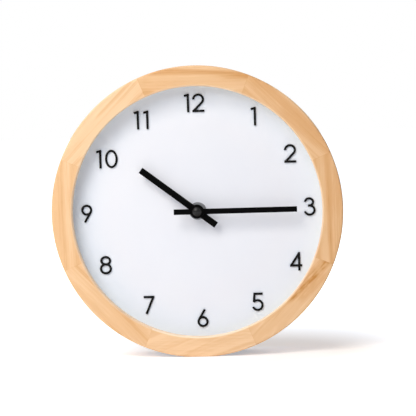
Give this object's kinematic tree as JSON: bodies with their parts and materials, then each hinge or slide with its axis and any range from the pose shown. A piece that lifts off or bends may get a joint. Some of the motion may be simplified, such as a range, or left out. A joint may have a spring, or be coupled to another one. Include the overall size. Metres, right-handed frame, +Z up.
{
  "type": "desk clock",
  "caption": "Round wooden desk clock with a mitred pine ring, recessed white dial, raised black numerals, stick hands and a battery quartz movement with its gear train.",
  "frame": {"origin": "middle of the standing flat under the ring, at the bottom centre of the bounding box", "axes": "+Z up, the dial faces -Y, +X is towards three o'clock"},
  "size_m": [0.2, 0.04, 0.1995],
  "materials": {
    "pine": "planed pine, straight grain along each segment, matt clear finish",
    "dial_card": "smooth matt white",
    "numeral_black": "satin black",
    "hand_black": "satin black paint",
    "zinc": "zinc plated",
    "rubber": "matt black",
    "fibreboard": "smooth brown fibreboard",
    "grey_card": "pressed grey board",
    "case_black": "fine textured moulding",
    "acetal_white": "natural moulding",
    "brass": "turned",
    "ferrite": "dark grey",
    "soft_iron": "stamped sheet",
    "copper_wire": "enamelled copper",
    "board_green": "lacquered board",
    "chip_black": "moulded resin",
    "crystal_can": "drawn can",
    "nickel_strip": "nickel plated strip",
    "battery_wrap": "plain shrink sleeve"
  },
  "bodies": {
    "clock_body": {"frame_segment_1": "pine", "frame_segment_2": "pine", "frame_segment_3": "pine", "frame_segment_4": "pine", "frame_segment_5": "pine", "frame_segment_6": "pine", "frame_segment_7": "pine", "frame_segment_8": "pine", "dial_face": "dial_card", "dial_board": "fibreboard", "dial_numerals": "numeral_black", "spacer_ring": "grey_card", "back_panel": "fibreboard", "back_panel_screws": "zinc", "movement_case": "case_black", "movement_cover": "case_black", "bridge_plate": "acetal_white", "fixing_nut": "zinc", "dial_washer": "zinc", "dial_gasket": "rubber", "stator": "soft_iron", "coil_core": "soft_iron", "coil_bobbin": "acetal_white", "coil_winding": "copper_wire", "circuit_board": "board_green", "control_chip": "chip_black", "quartz_crystal": "crystal_can", "positive_contact": "nickel_strip", "negative_contact": "nickel_strip"},
    "minute_hand_body": {"minute_hand": "hand_black", "hand_cap": "hand_black", "minute_pipe": "brass"},
    "hour_hand_body": {"hour_hand": "hand_black", "hour_wheel": "acetal_white"},
    "minute_wheel_body": {"minute_wheel": "acetal_white"},
    "setting_knob_body": {"setting_knob": "case_black"},
    "second_wheel_body": {"second_wheel": "acetal_white"},
    "third_wheel_body": {"third_wheel": "acetal_white"},
    "centre_wheel_body": {"centre_wheel": "acetal_white"},
    "intermediate_wheel_body": {"intermediate_wheel": "acetal_white"},
    "rotor_body": {"rotor": "acetal_white", "rotor_magnet": "ferrite"},
    "battery_body": {"battery_cell": "battery_wrap", "battery_cap": "nickel_strip"}
  },
  "joints": [
    {"name": "minute_hand_turn", "type": "hinge", "parent": "clock_body", "child": "minute_hand_body", "pos_m": [0, -0.017, 0.0995], "axis": [0, 1, 0], "continuous": true},
    {"name": "hour_hand_turn", "type": "hinge", "parent": "clock_body", "child": "hour_hand_body", "pos_m": [0, -0.0134, 0.0995], "axis": [0, 1, 0], "continuous": true},
    {"name": "minute_wheel_turn", "type": "hinge", "parent": "clock_body", "child": "minute_wheel_body", "pos_m": [0.00789, 0.0005, 0.10237], "axis": [0, 1, 0], "continuous": true},
    {"name": "setting_knob_turn", "type": "hinge", "parent": "clock_body", "child": "setting_knob_body", "pos_m": [0.01579, 0.0148, 0.10525], "axis": [0, 1, 0], "continuous": true},
    {"name": "second_wheel_turn", "type": "hinge", "parent": "clock_body", "child": "second_wheel_body", "pos_m": [0, 0.006, 0.0995], "axis": [0, 1, 0], "continuous": true},
    {"name": "third_wheel_turn", "type": "hinge", "parent": "clock_body", "child": "third_wheel_body", "pos_m": [-0.00709, 0.0047, 0.10075], "axis": [0, 1, 0], "continuous": true},
    {"name": "centre_wheel_turn", "type": "hinge", "parent": "clock_body", "child": "centre_wheel_body", "pos_m": [0, 0.0033, 0.0995], "axis": [0, 1, 0], "continuous": true},
    {"name": "intermediate_wheel_turn", "type": "hinge", "parent": "clock_body", "child": "intermediate_wheel_body", "pos_m": [0.00192, 0.0075, 0.10666], "axis": [0, 1, 0], "continuous": true},
    {"name": "rotor_turn", "type": "hinge", "parent": "clock_body", "child": "rotor_body", "pos_m": [0.00355, 0.005, 0.11274], "axis": [0, 1, 0], "continuous": true},
    {"name": "battery_slide", "type": "slide", "parent": "clock_body", "child": "battery_body", "axis": [0, 1, 0], "range_m": [0, 0.03]}
  ],
  "couplings": [
    {"joint": "hour_hand_turn", "follows": "minute_hand_turn", "ratio": 0.083333},
    {"joint": "minute_wheel_turn", "follows": "minute_hand_turn", "ratio": -0.33333},
    {"joint": "setting_knob_turn", "follows": "minute_hand_turn", "ratio": 1},
    {"joint": "third_wheel_turn", "follows": "second_wheel_turn", "ratio": -0.13333},
    {"joint": "centre_wheel_turn", "follows": "second_wheel_turn", "ratio": 0.016667},
    {"joint": "intermediate_wheel_turn", "follows": "second_wheel_turn", "ratio": -5},
    {"joint": "rotor_turn", "follows": "second_wheel_turn", "ratio": 30}
  ]
}
